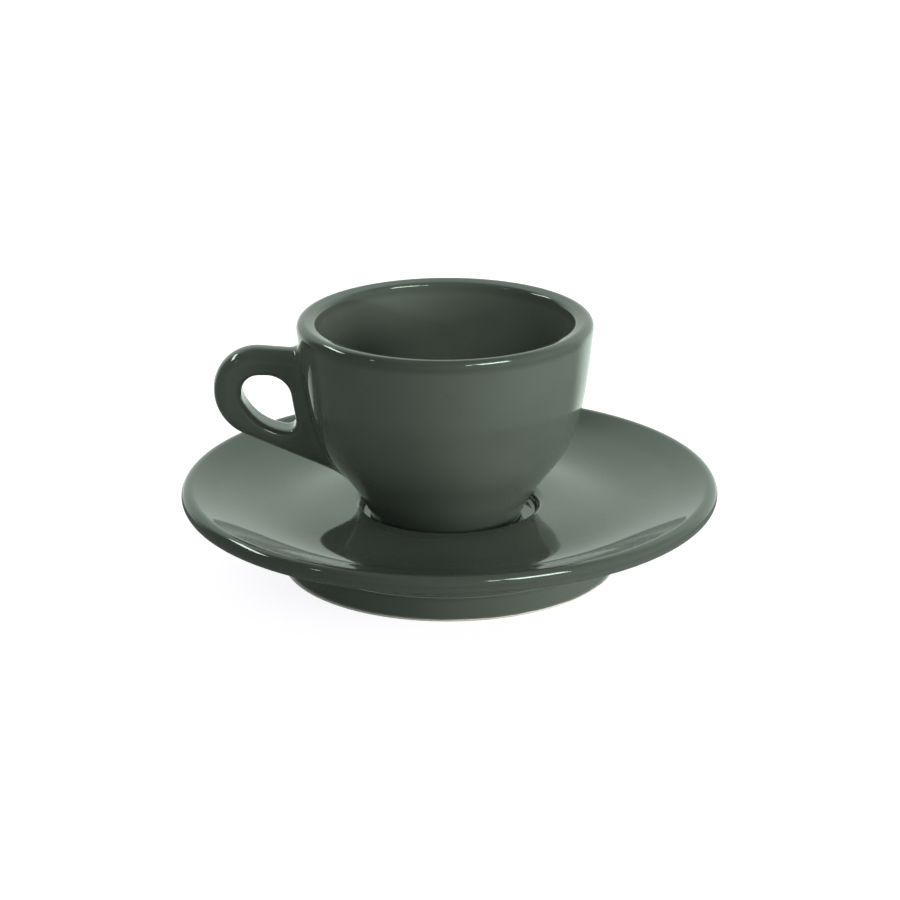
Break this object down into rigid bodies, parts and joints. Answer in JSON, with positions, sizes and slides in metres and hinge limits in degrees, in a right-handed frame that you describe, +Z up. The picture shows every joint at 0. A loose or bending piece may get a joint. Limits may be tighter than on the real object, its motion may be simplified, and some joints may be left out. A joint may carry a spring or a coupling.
{
  "type": "espresso cup and saucer",
  "caption": "Thick-walled espresso cup with a pierced ear handle, standing in the well of a round saucer with a rounded rim, in dark grey-green glazed ceramic.",
  "frame": {"origin": "centre of the saucer's foot ring, on the surface that it stands on", "axes": "+Z up, along the saucer's axis; the cup's handle points to -X"},
  "size_m": [0.12, 0.12, 0.0568],
  "materials": {
    "glaze": "glossy dark grey-green glaze, thinner and darker on the edges, with bare clay under the foot rings"
  },
  "bodies": {
    "saucer": {"saucer": "glaze"},
    "cup": {"cup_body": "glaze", "cup_handle": "glaze"}
  },
  "joints": [
    {"name": "cup_lift", "type": "slide", "parent": "saucer", "child": "cup", "axis": [0, 0, 1], "range_m": [0, 0.08]}
  ]
}
